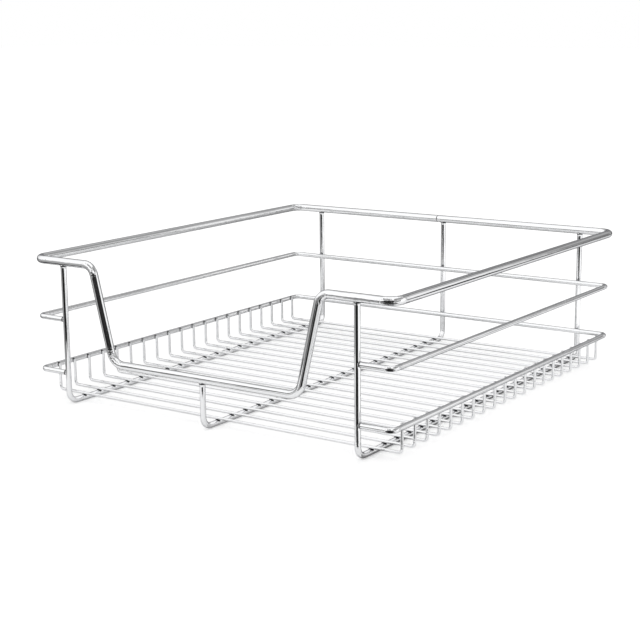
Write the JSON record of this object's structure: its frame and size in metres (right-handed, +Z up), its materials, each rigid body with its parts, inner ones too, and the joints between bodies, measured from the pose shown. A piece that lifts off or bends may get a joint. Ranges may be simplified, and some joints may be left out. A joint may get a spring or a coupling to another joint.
{
  "type": "pull-out cabinet basket",
  "caption": "Rectangular bent-wire basket with a thick rim that dips at the front, side rails, front-to-back carriers and cross wires for a floor.",
  "frame": {"origin": "on the surface that the basket rests on, under the middle of its plan outline", "axes": "+X to the basket's right as seen from the front, +Y to the back (it pulls out along -Y), +Z up"},
  "size_m": [0.42, 0.448, 0.146],
  "materials": {
    "chromed_wire": "bright chrome plate over steel wire"
  },
  "bodies": {
    "root": {"top_rim": "chromed_wire", "middle_rail": "chromed_wire", "lower_rail": "chromed_wire", "left_carrier": "chromed_wire", "centre_carrier": "chromed_wire", "right_carrier": "chromed_wire", "floor_wire_01": "chromed_wire", "floor_wire_02": "chromed_wire", "floor_wire_03": "chromed_wire", "floor_wire_04": "chromed_wire", "floor_wire_05": "chromed_wire", "floor_wire_06": "chromed_wire", "floor_wire_07": "chromed_wire", "floor_wire_08": "chromed_wire", "floor_wire_09": "chromed_wire", "floor_wire_10": "chromed_wire", "floor_wire_11": "chromed_wire", "floor_wire_12": "chromed_wire", "floor_wire_13": "chromed_wire", "floor_wire_14": "chromed_wire", "floor_wire_15": "chromed_wire", "floor_wire_16": "chromed_wire", "floor_wire_17": "chromed_wire", "floor_wire_18": "chromed_wire", "floor_wire_19": "chromed_wire", "floor_wire_20": "chromed_wire"}
  },
  "joints": []
}
